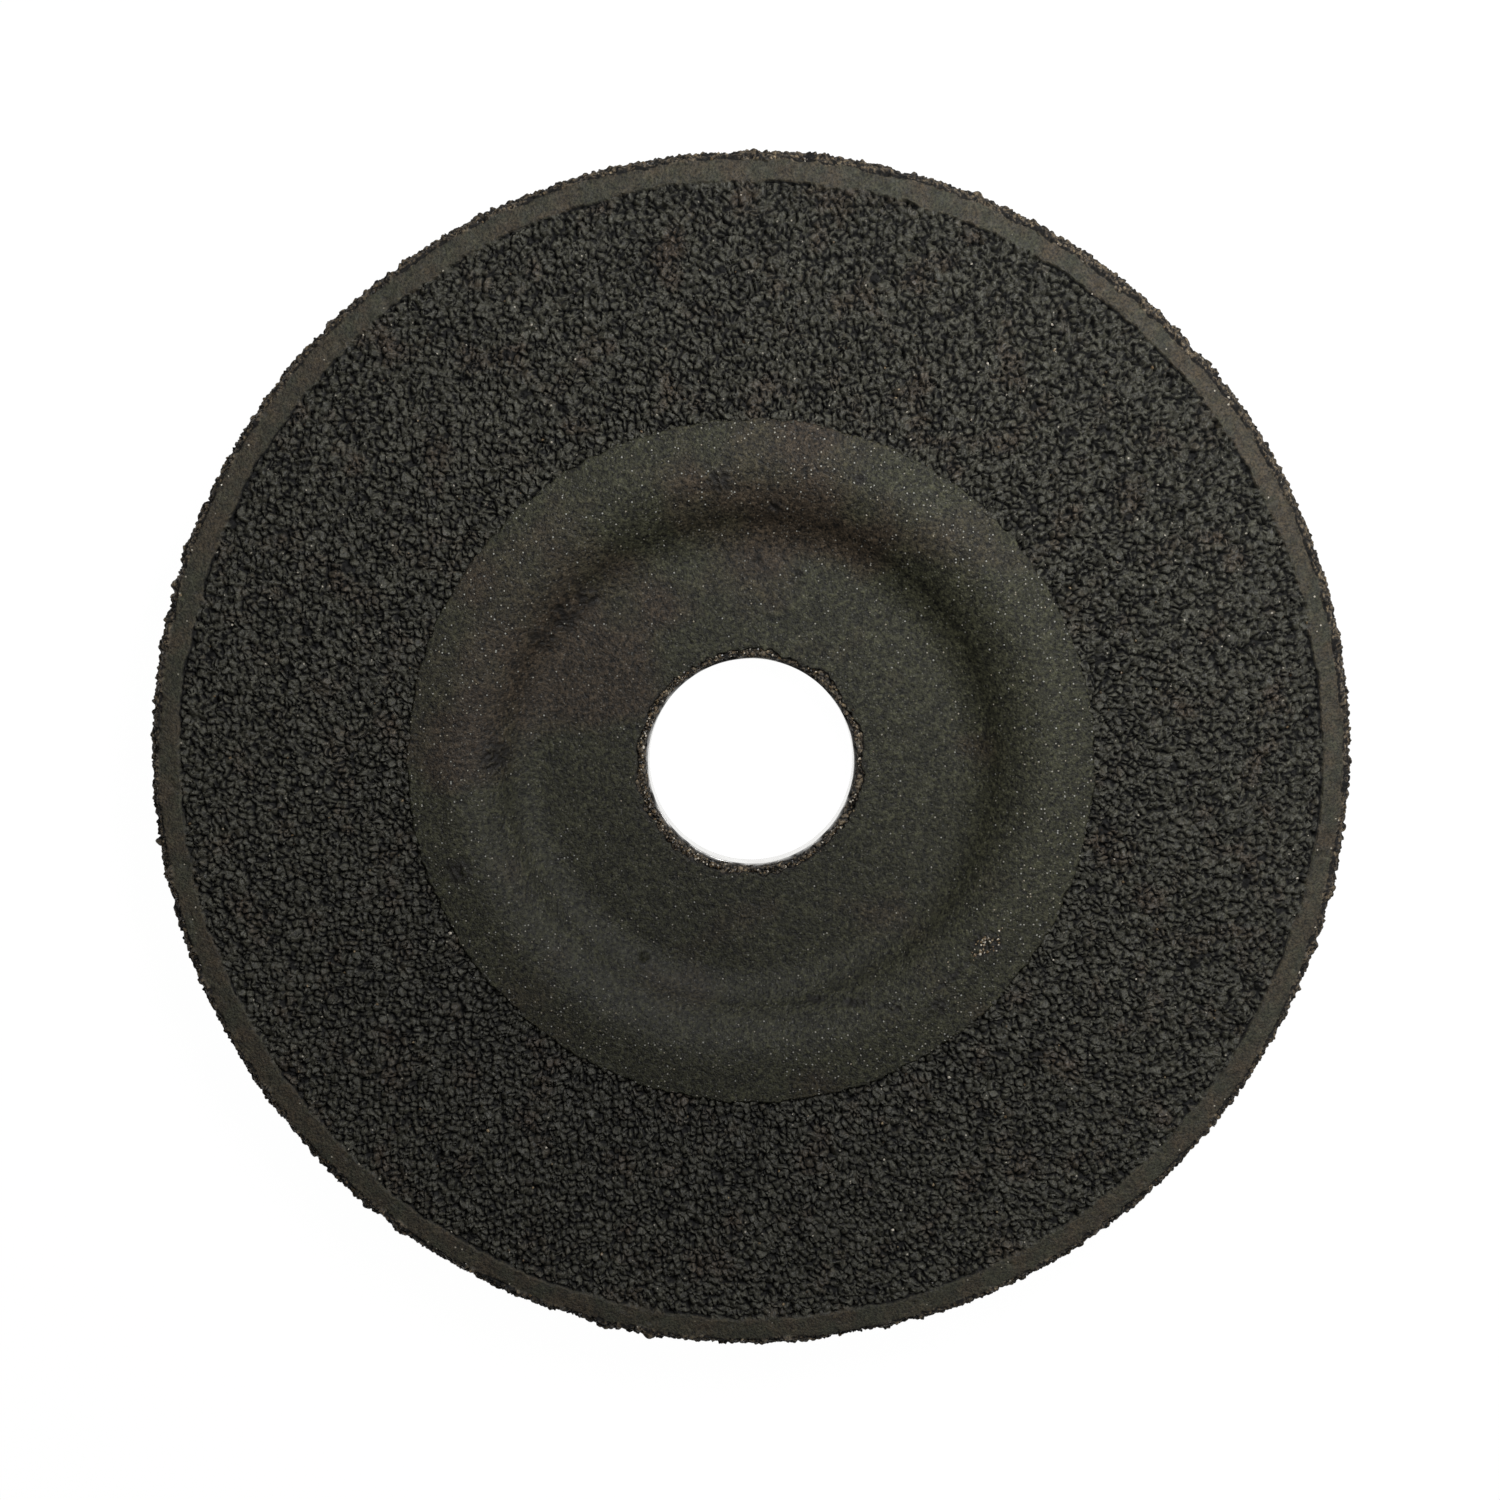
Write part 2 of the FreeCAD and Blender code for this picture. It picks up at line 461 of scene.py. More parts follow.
def working_face(materials):
    """The pebbled annulus with its smooth band and broken rim, down to the joint between the layers."""
    under_facing = facing_radius - 0.5
    chamfer_foot = face[1] - edge_chamfer_height
    shown = np.concatenate([
        straight((under_facing, face[1]), (band_outer_radius, face[1]), FINE_STEP),
        straight((band_outer_radius, face[1]), (outer_radius, chamfer_foot), FINE_STEP),
        straight((outer_radius, chamfer_foot), (outer_radius, joint[1]), FINE_STEP),
        [(outer_radius, joint[1])],
    ])
    hidden = np.array([
        (outer_radius - 2.0, joint[1]),
        (under_facing, joint[1]),
        (under_facing, face[1] - 1.0),
    ])
    section = Section(shown, hidden, COLUMNS)
    relief, shade, band, grit = face_relief(section)
    fields = {"crevice": shade, "band": band, "grit": grit}
    look = (materials["abrasive"], "abrasive", "front_abrasive_layer")
    wedges("working_face", FRONT_WEDGES, section, section.lift(relief), fields, look)


def abrasive_hub(materials):
    """The abrasive under the facing, whose broken edge shows in the bore."""
    top = facing_back[0]
    joint_at_bore = float(dished(laminate_bore_radius, *joint))
    gritty_radius = laminate_bore_radius + 2.5
    shown = np.concatenate([
        straight((laminate_bore_radius, joint_at_bore), (laminate_bore_radius, top), FINE_STEP),
        straight((laminate_bore_radius, top), (gritty_radius, top), FINE_STEP),
        [(gritty_radius, top)],
    ])
    outer = facing_radius - 0.5
    hidden = np.concatenate([
        along_dish(gritty_radius + 0.5, outer, *facing_back, 1.0),
        [(outer, float(dished(outer, *facing_back)))],
        along_dish(outer, laminate_bore_radius + 1, *joint, 1.0),
    ])
    section = Section(shown, hidden, COLUMNS // 4)
    points = section.points()
    grit, gap = broken_grit(points, 0.55, 90)
    radius = section.radius_and_height()[0]
    fade = ramp(radius, gritty_radius, gritty_radius - 0.8)
    relief = np.minimum((0.9 * grit + 0.1) * fade, 0.26)
    # Painted shade in the gaps of the broken grit round the bore.
    fields = {"crevice": gap * fade, "band": 0 * gap, "grit": fade + 0 * gap}
    look = (materials["abrasive"], "abrasive", "front_abrasive_layer")
    wedges("abrasive_hub", BORE_WEDGES, section, section.lift(relief), fields, look)


# Relief of the smooth hub

# Marks of the resin skin, by their places east and north of the axis
PIMPLE = (-11.5, -20.9)
PIMPLE_FOOT = (-11.9, -21.6)
CREASE_NORTH = -25.2
SCUFF_EAST = 24.8
SCUFF_NORTH = -18.9
TRAIL_START = (21.5, -22.0)

# Places where the skin is torn, each with its reach
TORN_SPOTS = ((-3.2, 29.5, 1.3), (11.2, 29.6, 0.6), (5.1, 20.2, 0.5), (0.7, 21.7, 0.5), (-17.2, 17.6, 1.2),
              (-19.5, 15.6, 1.5), (-21.8, 13.4, 1.2), (-27.0, 1.0, 1.7), (2.5, 26.8, 0.8),
              (28.5, -24.2, 0.8), (19.8, -25.4, 1.0), (-15.1, -36.0, 0.5), (-30.5, -11.0, 1.4))


def hub_relief(points):
    """The pressed resin skin: slow waves, fine grain and the few marks that this disc carries.

    Gives the relief, and from 0 to 1 how far the skin is torn open, where shade is also painted in the torn
    hollows and in the pits.
    """
    flat = points[..., :2]
    east = flat[..., 0]
    north = flat[..., 1]
    relief = 0.05 * noise(flat, 7.0, 101) + 0.03 * noise(flat, 2.6, 102)
    relief += 0.014 * noise(flat, 0.5, 103) + 0.01 * noise(flat, 0.28, 104)
    relief += 0.45 * bell(away_from(flat, PIMPLE), 0.45)
    relief -= 0.1 * bell(away_from(flat, PIMPLE_FOOT), 0.5)
    crease_away = north - CREASE_NORTH + 0.03 * east + 0.4 * noise(flat, 4.0, 105)
    crease = bell(crease_away, 0.4) * ramp(east, -3, 1) * ramp(east, 22, 18)
    relief -= 0.05 * crease
    tear = np.maximum(scuff(flat), 0.8 * crease * ramp(noise(flat, 1.6, 116), -0.2, 0.3))
    for *spot, reach in TORN_SPOTS:
        tear = np.maximum(tear, bell(away_from(flat, spot), reach))
    ridges = 0.6 * torn(flat, 0.7, 106) + 0.4 * torn(flat, 0.36, 115)
    # Painted shade darkens the hollows between the torn ridges.
    opened_and_shaded = ramp(tear, 0.1, 0.7) * ramp(ridges, 0.75, 0.15)
    relief += 0.22 * ridges * tear
    # Small pits, in which shade is painted.
    first, _, owner, _ = scatter(flat, 2.3, 107, 1)
    picked = lattice(owner, 108) < 0.3
    pit = bell(first, 0.09 + 0.12 * lattice(owner, 110)) * picked
    depth = 0.04 + 0.06 * lattice(owner, 109)
    return relief - pit * depth, np.clip(opened_and_shaded + 0.7 * pit, 0, 1)


def away_from(flat, spot):
    """Distance of each point from a spot."""
    return np.hypot(flat[..., 0] - spot[0], flat[..., 1] - spot[1])


def torn(flat, pitch, seed):
    """Sharp ridges and hollows of torn resin, from -0.6 to 1."""
    return np.clip(1 - np.abs(noise(flat, pitch, seed)) * 2.4, -0.6, 1)


def scuff(flat):
    """Where the resin is torn on the slope, with a trail of nicks that runs away towards the crease."""
    patch = bell(np.hypot((flat[..., 0] - SCUFF_EAST) / 1.5, (flat[..., 1] - SCUFF_NORTH) / 1.1), 1.25)
    east = flat[..., 0] - TRAIL_START[0]
    north = flat[..., 1] - TRAIL_START[1]
    trail_along = 0.75 * east + 0.66 * north
    trail_across = 0.75 * north - 0.66 * east
    trail = bell(trail_across + 0.3 * noise(flat, 1.5, 111), 0.5) * bell(trail_along, 3.2)
    return np.maximum(patch, 0.7 * trail)


def hub_skin(materials):
    """The smooth facing over the hub and the bend, chipped round the bore."""
    shown = np.concatenate([
        [(laminate_bore_radius, facing_back[0])],
        along_dish(laminate_bore_radius, facing_radius, *face, 0.17),
        [(facing_radius, face[1]), (facing_radius, facing_back[1])],
    ])
    hidden = along_dish(facing_radius - 1.0, laminate_bore_radius + 1.0, *facing_back, 1.2)
    section = Section(shown, hidden, COLUMNS // 2, soften=1)
    radius, height = section.radius_and_height()
    chip_circle_radius = 11.5
    circle = section.circle(chip_circle_radius)
    angle = section.angles[None, :]
    chipped = 0.5 + 0.26 * noise(circle, 1.5, 121) + 0.22 * noise(circle, 0.5, 122)
    chipped += 0.2 * bell(arc_from(angle, 215), 1.2)
    chipped = np.clip(chipped, 0.08, 1.05)
    wander = 0.16 * noise(circle * 3, 1.3, 123) + 0.12 * noise(circle * 3, 0.6, 124)
    radii = radius + chipped * ramp(radius, laminate_bore_radius + 4, laminate_bore_radius)
    radii = radii + wander * ramp(radius, facing_radius - 2, facing_radius)
    points = section.points(radii)
    edge = ramp(radii - laminate_bore_radius - chipped, 0.0, 0.35)
    marks, opened_and_shaded = hub_relief(points)
    relief = marks * ramp(radius, facing_radius, facing_radius - 1.0) * edge
    relief = relief - 0.08 * (1 - edge) * (height > facing_back[0] + 0.1)
    # Wear at the chipped edge, and painted shade in the torn hollows and pits.
    fields = {"wear": np.maximum(1 - edge, opened_and_shaded)}
    look = (materials["resin"], "resin_skin", "hub_facing")
    wedges("hub_skin", HUB_WEDGES, section, section.lift(relief, radii), fields, look)


# The back

def over_yarns(flat):
    """1 over the yarns of the back net and 0 in its meshes."""
    from_yarn = np.abs(flat % yarn_pitch - yarn_pitch / 2)
    return ramp(from_yarn, yarn_width * 0.75, yarn_width * 0.35).max(-1)


def back_face(materials):
    """The back half of the abrasive: the lower wall of the rim, and resin pressed through the net."""
    bevel = 0.5
    shown = np.concatenate([
        straight((outer_radius, joint[1]), (outer_radius, back[1] + bevel), 0.25),
        straight((outer_radius, back[1] + bevel), (outer_radius - bevel, back[1]), 0.25),
        along_dish(outer_radius - bevel, laminate_bore_radius, *back, COARSE_STEP),
        [(laminate_bore_radius, back[0])],
    ])
    hidden = np.concatenate([
        [(laminate_bore_radius, joint[0])],
        along_dish(laminate_bore_radius + 1, outer_radius - 2, *joint, 2.0),
    ])
    section = Section(shown, hidden, COLUMNS)
    points = section.points()
    radius, height = section.radius_and_height()
    from_edge = outer_radius - radius + np.maximum(height - back[1], 0)
    grit, gap = broken_grit(points, RIM_GRIT_PITCH, RIM_GRIT_SEED)
    is_grit = ramp(from_edge, 1.1, 0.6) + 0 * grit
    is_grit = np.where(height > back[1] + 0.01, 1.0, is_grit) * (radius > outer_radius - 2)
    flat = points[..., :2]
    yarns = over_yarns(flat)
    pillows = 0.1 * (1 - yarns) * (0.7 + 0.3 * noise(flat, 1.8, 131)) - 0.12
    pits = np.clip(noise(flat, 0.7, 132) * 2 - 0.9, 0, 1) * (1 - yarns)
    covered = ramp(radius, label_radius, label_radius + 0.4)
    resin = pillows - 0.12 * pits + 0.02 * noise(flat, 0.5, 133)
    relief = resin * covered - 0.14 * (1 - covered)
    relief = relief * (1 - is_grit) + (grit + RIM_GRIT_RISE) * is_grit
    # Painted shade in the pits of the resin and in the grit's gaps.
    shade = np.clip(0.5 * pits * (1 - is_grit) + gap * is_grit, 0, 1)
    fields = {"crevice": shade, "band": 0 * shade, "grit": is_grit}
    look = (materials["abrasive"], "abrasive", "back_abrasive_layer")
    wedges("back_face", BACK_WEDGES, section, section.lift(relief), fields, look)


def yarn_ribbon(offset, weft, start, end):
    """One flat yarn on the back: it passes over and under the yarns that cross it."""
    along = np.append(run(start, end, 0.42), end)
    across = np.array([-0.5, -0.3, 0.0, 0.3, 0.5, 0.3, 0.0, -0.3]) * yarn_width
    belly = np.array([0.0, -0.8, -1.0, -0.8, 0.0, 0.8, 1.0, 0.8]) * yarn_thickness * 0.42
    step = round(offset / yarn_pitch - 0.5)
    over = 1 if (step + weft) % 2 else -1
    wave = over * np.cos(math.pi * along / yarn_pitch + math.pi / 2) * yarn_thickness * 0.45
    sway = 0.12 * noise(np.stack([along, np.full_like(along, offset)], -1), 9.0, 141 + weft)
    place = np.stack([np.broadcast_to(along[:, None], (len(along), len(across))),
                      offset + sway[:, None] + across[None, :]], -1)
    radius = np.hypot(place[..., 0], place[..., 1])
    base = dished(radius, *back)
    height = base + yarn_thickness * 0.3 + wave[:, None] + belly[None, :]
    x, y = (place[..., 0], place[..., 1]) if weft else (place[..., 1], place[..., 0])
    return np.stack([x, y, height], -1)


def yarn_runs():
    """Each yarn's distance from the centre line, its start and its end: two runs where the bore cuts it."""
    last = math.floor(net_radius / yarn_pitch - 0.5)
    inner = laminate_bore_radius + 0.15
    runs = []
    for step in range(-last - 1, last + 1):
        offset = (step + 0.5) * yarn_pitch
        reach = math.sqrt(net_radius ** 2 - offset ** 2)
        if abs(offset) > inner:
            runs.append((offset, -reach, reach))
        else:
            gap = math.sqrt(inner ** 2 - (abs(offset) - yarn_width / 2) ** 2)
            runs += [(offset, -reach, -gap), (offset, gap, reach)]
    return runs


def tube_faces(rings, around, start):
    """Faces of a closed tube of rings of points, with its two end caps."""
    quads = quads_of(rings, around, False, True)[:, [0, 3, 2, 1]] + start
    caps = np.stack([np.arange(around)[::-1], (rings - 1) * around + np.arange(around)]) + start
    return quads, caps


def net_direction(name, weft, look):
    """All the yarns of one direction of the back net, as one piece."""
    points = []
    quads = []
    caps = []
    start = 0
    for offset, run_start, run_end in yarn_runs():
        ribbon = yarn_ribbon(offset, weft, run_start, run_end)
        sides, tips = tube_faces(ribbon.shape[0], ribbon.shape[1], start)
        if not weft:
            sides = sides[:, ::-1]
            tips = tips[:, ::-1]
        points.append(ribbon.reshape(-1, 3))
        quads.append(sides)
        caps.append(tips)
        start += ribbon.shape[0] * ribbon.shape[1]
    points = np.concatenate(points)
    faces = [np.concatenate(quads), np.concatenate(caps)]
    corners = np.concatenate([group.ravel() for group in faces])
    corner_uv = points[corners][:, :2] / (2 * outer_radius) + 0.5
    add_piece(name, points, faces, corner_uv, look)


def paper_label(materials):
    """The paper disc on the back, moulded over the net beneath it, with a soft, worn edge."""
    hole = flange_radius + label_gap_to_flange
    under = (back[0] - label_thickness, back[1] - label_thickness)
    shown = np.concatenate([
        [(label_radius, float(dished(label_radius, *back)) + 0.02)],
        along_dish(label_radius, hole, *under, 0.4),
        [(hole, under[0]), (hole, back[0] + 0.02)],
    ])
    hidden = along_dish(hole + 1, label_radius - 1, back[0] + 0.02, back[1] + 0.02, 3.0)
    section = Section(shown, hidden, 960, soften=1)
    radius = section.radius_and_height()[0]
    circle = section.circle(label_radius)
    radii = radius + 0.07 * noise(circle, 1.1, 151) * ramp(radius, label_radius - 1, label_radius)
    flat = section.points(radii)[..., :2]
    creases = np.clip(1 - np.abs(noise(flat, 11.0, 152)) * 30, 0, 1)
    relief = 0.055 * over_yarns(flat) + 0.03 * noise(flat, 4.0, 153) + 0.02 * creases - 0.04
    inside = ramp(radius, label_radius, label_radius - 0.3) * ramp(radius, hole, hole + 0.3)
    grid = section.lift(relief * inside, radii)
    quads = quads_of(len(section.rows), section.columns, True, True)
    corner_uv = grid.reshape(-1, 3)[quads.ravel()][:, :2] / (2 * label_radius + 1) + 0.5
    look = (materials["paper"], "label_paper", "paper_label")
    add_piece("label", grid.reshape(-1, 3), [quads], corner_uv, look, grid_normals(grid))


def steel_ring(materials):
    """The pressed ring: its barrel in the bore, a rounded bend and its flange on the back."""
    bend = 0.45
    edge = 0.09
    flange = 0.3
    quarter = np.linspace(0, math.pi / 2, 7)
    inner_bend = np.stack([bore_radius + bend * (1 - np.cos(quarter)), bend * (1 - np.sin(quarter))], -1)
    profile = np.concatenate([
        [(bore_radius + edge, ring_length), (laminate_bore_radius - edge, ring_length),
         (laminate_bore_radius, ring_length - edge)],
        straight((laminate_bore_radius, ring_length - edge), (laminate_bore_radius, flange + 0.12), 0.5),
        [(laminate_bore_radius + 0.05, flange + 0.03), (laminate_bore_radius + 0.12, flange)],
        straight((laminate_bore_radius + 0.4, flange), (flange_radius - edge, flange), 0.4),
        [(flange_radius - edge, flange), (flange_radius, flange - edge), (flange_radius, edge),
         (flange_radius - edge, 0.0)],
        straight((flange_radius - 0.3, 0.0), (bore_radius + bend + 0.1, 0.0), 0.4),
        inner_bend[::-1],
        straight((bore_radius, bend + 0.2), (bore_radius, ring_length - edge), 0.3),
        [(bore_radius, ring_length - edge)],
    ])
    section = Section(profile, np.zeros((0, 2)), 480, soften=1)
    grid = section.lift(0.012 * noise(section.points(), 1.4, 161) - 0.006)
    quads = quads_of(len(section.rows), section.columns, True, True)
    corner_uv = grid_uv(section, section.columns + 1)
    look = (materials["steel"], "ring_steel", "centre_ring")
    add_piece("bore_ring", grid.reshape(-1, 3), [quads], corner_uv, look, grid_normals(grid))


# Loose grains

def icosahedron():
    """Corners and faces of an icosahedron of radius 1."""
    golden = (1 + math.sqrt(5)) / 2
    corners = []
    for a, b in itertools.product((-1, 1), (-golden, golden)):
        corners += [(0, a, b), (a, b, 0), (b, 0, a)]
    corners = np.array(corners, float)
    longest_side = 2.01
    faces = []
    for trio in itertools.combinations(range(12), 3):
        a, b, c = corners[list(trio)]
        if all(np.linalg.norm(side) < longest_side for side in (a - b, b - c, c - a)):
            outside = np.dot(np.cross(b - a, c - a), a + b + c) > 0
            faces.append(trio if outside else trio[::-1])
    return corners / np.linalg.norm(corners[0]), np.array(faces)


def grains(name, places, sizes, random, look, darkest=0.0):
    """Angular grains at places in mm, each with its own size, shape, turn and tone, as one piece."""
    corners, faces = icosahedron()
    count = len(places)
    sizes = random.uniform(*sizes, count)
    shape = corners[None] * random.uniform(0.62, 1.25, (count, 12, 1))
    shape = shape * random.uniform(0.6, 1.2, (count, 1, 3))
    turn, _ = np.linalg.qr(random.normal(size=(count, 3, 3)))
    turn *= np.sign(np.linalg.det(turn))[:, None, None]
    shape = np.einsum("nij,nkj->nki", turn, shape) * sizes[:, None, None] / 2
    points = (shape + places[:, None]).reshape(-1, 3)
    triangles = (faces[None] + 12 * np.arange(count)[:, None, None]).reshape(-1, 3)
    tone = np.repeat(random.uniform(darkest, 1.0, count), 12)
    side = math.ceil(math.sqrt(count))
    cell = np.stack([np.arange(count) % side, np.arange(count) // side], -1)
    corner_uv = (cell[:, None, None] + np.array([(0.2, 0.2), (0.8, 0.2), (0.5, 0.8)])[None, None]) / side
    corner_uv = np.broadcast_to(corner_uv, (count, len(faces), 3, 2)).reshape(-1, 2)
    add_piece(name, points, [triangles], corner_uv, look, fields={"tone": tone}, smooth=False)


def round_places(angles, radii, heights):
    """Places from angles, radii and heights."""
    return np.stack([radii * np.cos(angles), radii * np.sin(angles), heights], -1)


def rim_grains(look):
    """Grains torn loose from the rim's broken edge."""
    random = np.random.default_rng(5)
    count = 3800
    angles = random.uniform(0, 2 * math.pi, count)
    drop = random.beta(1.0, 1.6, count) * (face[1] - back[1] - 0.6)
    inward = np.interp(drop, [0, edge_chamfer_height], [outer_radius - band_outer_radius, 0])
    radii = outer_radius - 0.06 - inward + random.normal(0, 0.07, count)
    places = round_places(angles, radii, face[1] - 0.1 - drop)
    grains("rim_grit", places, (0.2, 0.46), random, look)


def bore_grains(look):
    """Grains in the broken edge round the bore."""
    random = np.random.default_rng(6)
    count = 1100
    angles = random.uniform(0, 2 * math.pi, count)
    thrown = math.radians(215) + random.normal(0, 0.9, count)
    angles = np.where(random.random(count) < 0.45, thrown, angles)
    outward_shift = random.beta(1.2, 2.2, count)
    radii = laminate_bore_radius - 0.03 + 0.85 * outward_shift
    heights = np.interp(outward_shift, [0, 0.15, 1], [4.25, 4.72, 4.9]) + random.normal(0, 0.06, count)
    grains("bore_grit", round_places(angles, radii, heights), (0.15, 0.38), random, look)


def face_grains(look):
    """The few bare grains that glint between the pebbles."""
    random = np.random.default_rng(7)
    count = 420
    angles = random.uniform(0, 2 * math.pi, count)
    radii = np.sqrt(random.uniform(facing_radius ** 2, band_inner_radius ** 2, count))
    heights = face[1] - 0.14 + random.normal(0, 0.04, count)
    grains("face_grit", round_places(angles, radii, heights), (0.16, 0.36), random, look)


def scuff_grains(look):
    """Pale grains laid bare where the skin is torn on the slope."""
    random = np.random.default_rng(8)
    count = 70
    along = random.uniform(-1, 1, count)
    east = SCUFF_EAST + 1.5 * along + random.normal(0, 0.16, count)
    north = SCUFF_NORTH + 1.2 * along ** 3 + 1.1 * random.choice((-0.5, 0.1, 0.6), count)
    north += random.normal(0, 0.12, count)
    heights = dished(np.hypot(east, north), *face) + 0.05
    grains("scuff_grit", np.stack([east, north, heights], -1), (0.14, 0.34), random, look, darkest=0.6)


# Materials

def add_node(tree, kind, inputs=None, **settings):
    """Adds a shader node, sets its fields, and links or sets its inputs."""
    made = tree.nodes.new(kind)
    for field, value in settings.items():
        setattr(made, field, value)
    for socket, value in (inputs or {}).items():
        if isinstance(value, bpy.types.NodeSocket):
            tree.links.new(value, made.inputs[socket])
        else:
            made.inputs[socket].default_value = value
    return made


def new_material(name, roughness, specular=0.5, metallic=0.0):
    """A material with its node tree and its shader."""
    material = bpy.data.materials.new(name)
    material.use_nodes = True
    tree = material.node_tree
    shader = tree.nodes["Principled BSDF"]
    shader.inputs["Roughness"].default_value = roughness
    shader.inputs["Specular IOR Level"].default_value = specular
    shader.inputs["Metallic"].default_value = metallic
    return material, tree, shader


def object_place(tree):
    """The place on the disc, in metres, whichever piece it is on."""
    return add_node(tree, "ShaderNodeTexCoord").outputs["Object"]


def cloud(tree, place, size, seed, detail=2.0, roughness=0.5):
    """Noise of a feature size in mm, from 0 to 1."""
    settings = {"Vector": place, "W": float(seed), "Scale": 1 / (size * MM), "Detail": detail,
                "Roughness": roughness}
    return add_node(tree, "ShaderNodeTexNoise", settings, noise_dimensions="4D").outputs[0]


def spread(tree, value, low, high, to_low=0.0, to_high=1.0):
    """Maps a value from one range to another, and clamps it there."""
    settings = {"Value": value, "From Min": low, "From Max": high, "To Min": to_low, "To Max": to_high}
    return add_node(tree, "ShaderNodeMapRange", settings).outputs["Result"]


def math_of(tree, operation, first, second):
    """The result of one operation on two values."""
    return add_node(tree, "ShaderNodeMath", {0: first, 1: second}, operation=operation).outputs[0]


def added(tree, base, part, factor):
    """A value with another one times a factor added to it."""
    return math_of(tree, "ADD", base, math_of(tree, "MULTIPLY", part, factor))


def blend(tree, share, first, second):
    """A colour between two: all of the first at a share of 0, all of the second at 1."""
    def as_colour(value):
        return value if isinstance(value, bpy.types.NodeSocket) else (*value, 1.0)
    settings = {0: share, 6: as_colour(first), 7: as_colour(second)}
    return add_node(tree, "ShaderNodeMix", settings, data_type="RGBA").outputs[2]


def scaled_colour(tree, colour, factor):
    """A colour made lighter or darker by a factor."""
    return add_node(tree, "ShaderNodeVectorMath", {0: colour, "Scale": factor},
                    operation="SCALE").outputs[0]


def field(tree, name):
    """One of the values that a piece's mesh holds at its points."""
    return add_node(tree, "ShaderNodeAttribute", attribute_name=name).outputs["Fac"]


def specks(tree, place, size, share, seed):
    """1 on a few small round grains, 0 elsewhere. The share of cells that hold one may be a socket."""
    shifted = add_node(tree, "ShaderNodeVectorMath", {0: place, 1: (seed * 0.37, 0.0, 0.0)},
                       operation="ADD").outputs[0]
    cells = add_node(tree, "ShaderNodeTexVoronoi", {"Vector": shifted, "Scale": 1 / (size * MM)})
    pick = add_node(tree, "ShaderNodeSeparateColor", {0: cells.outputs["Color"]}).outputs[0]
    chosen = math_of(tree, "LESS_THAN", pick, share)
    return math_of(tree, "MULTIPLY", chosen, spread(tree, cells.outputs["Distance"], 0.34, 0.2))


def near_spot(tree, place, spot, reach):
    """1 at a spot on the disc given in mm, falling to 0 at its reach."""
    centre = tuple(value * MM for value in spot)
    away = add_node(tree, "ShaderNodeVectorMath", {0: place, 1: centre}, operation="DISTANCE")
    return spread(tree, away.outputs["Value"], reach * MM, 0.0)


def feed(tree, shader, colour, roughness, height, depth):
    """Feeds the shader its colour, its roughness and a fine relief of a depth in mm."""
    bump = add_node(tree, "ShaderNodeBump", {"Height": height, "Distance": depth * MM, "Strength": 1.0})
    tree.links.new(colour, shader.inputs["Base Color"])
    tree.links.new(roughness, shader.inputs["Roughness"])
    tree.links.new(bump.outputs["Normal"], shader.inputs["Normal"])


def stretched(tree, place, factors):
    """A place with each of its coordinates multiplied by a factor of its own."""
    return add_node(tree, "ShaderNodeVectorMath", {0: place, 1: factors}, operation="MULTIPLY").outputs[0]


def from_axis(tree, place):
    """Distance from the spin axis, in metres."""
    flat = stretched(tree, place, (1.0, 1.0, 0.0))
    return add_node(tree, "ShaderNodeVectorMath", {0: flat}, operation="LENGTH").outputs["Value"]


def between(tree, value, low, high):
    """1 where a distance in metres lies between two sizes in mm, 0 elsewhere."""
    above = math_of(tree, "GREATER_THAN", value, low * MM)
    return math_of(tree, "MULTIPLY", above, math_of(tree, "LESS_THAN", value, high * MM))


def painted_shade_lower_left(tree, place):
    """How light the disc's colour is at each place: painted shade makes its lower left darker than the rest.
    """
    return spread(tree, near_spot(tree, place, (-10, -22, 7), 50), 0.0, 1.0, 1.0, 0.56)


def resin_material():
    """Greenish-black pressed resin with brown stains, fine grain and bright specks."""
    material, tree, shader = new_material("resin_skin", 0.68, specular=0.28)
    place = object_place(tree)
    stain = cloud(tree, place, 9.0, 1, 3.0)
    left_stain = near_spot(tree, place, (-24, 9, 7), 22)
    top_stain = near_spot(tree, place, (4, 31, 9), 17)
    stain = added(tree, stain, math_of(tree, "MAXIMUM", left_stain, top_stain), 0.3)
    stain = spread(tree, stain, 0.56, 0.76)
    colour = blend(tree, stain, (0.0216, 0.0216, 0.0120), (0.0262, 0.0194, 0.0124))
    grain = cloud(tree, place, 0.3, 2, 2.0, 0.7)
    colour = scaled_colour(tree, colour, spread(tree, grain, 0.33, 0.67, 0.0, 2.1))
    coarse = cloud(tree, place, 0.55, 3, 3.0, 0.6)
    colour = scaled_colour(tree, colour, spread(tree, coarse, 0.32, 0.68, 0.3, 1.7))
    across = add_node(tree, "ShaderNodeVectorMath", {0: place}, operation="LENGTH").outputs["Value"]
    shoulder = spread(tree, across, 28 * MM, 32 * MM)
    share = added(tree, 0.035, shoulder, 0.1)
    bright = specks(tree, place, 0.34, share, 4)
    faint = math_of(tree, "MULTIPLY", specks(tree, place, 0.3, 0.2, 7), 0.22)
    tint = cloud(tree, place, 0.6, 5, 1.0)
    speck_colour = blend(tree, spread(tree, tint, 0.45, 0.7), (0.33, 0.33, 0.3), (0.28, 0.24, 0.17))
    colour = blend(tree, math_of(tree, "MAXIMUM", bright, faint), colour, speck_colour)
    # Wear at the chipped edge round the bore, and painted shade in the torn hollows and the pits, darken the
    # colour to near black.
    colour = blend(tree, math_of(tree, "MULTIPLY", field(tree, "wear"), 0.9), colour, (0.006, 0.005, 0.004))
    # Painted shade towards the lower left.
    colour = scaled_colour(tree, colour, painted_shade_lower_left(tree, place))
    roughness = spread(tree, cloud(tree, place, 0.35, 6), 0.3, 0.7, 0.5, 0.74)
    feed(tree, shader, colour, roughness, added(tree, grain, bright, 0.5), 0.17)
    return material


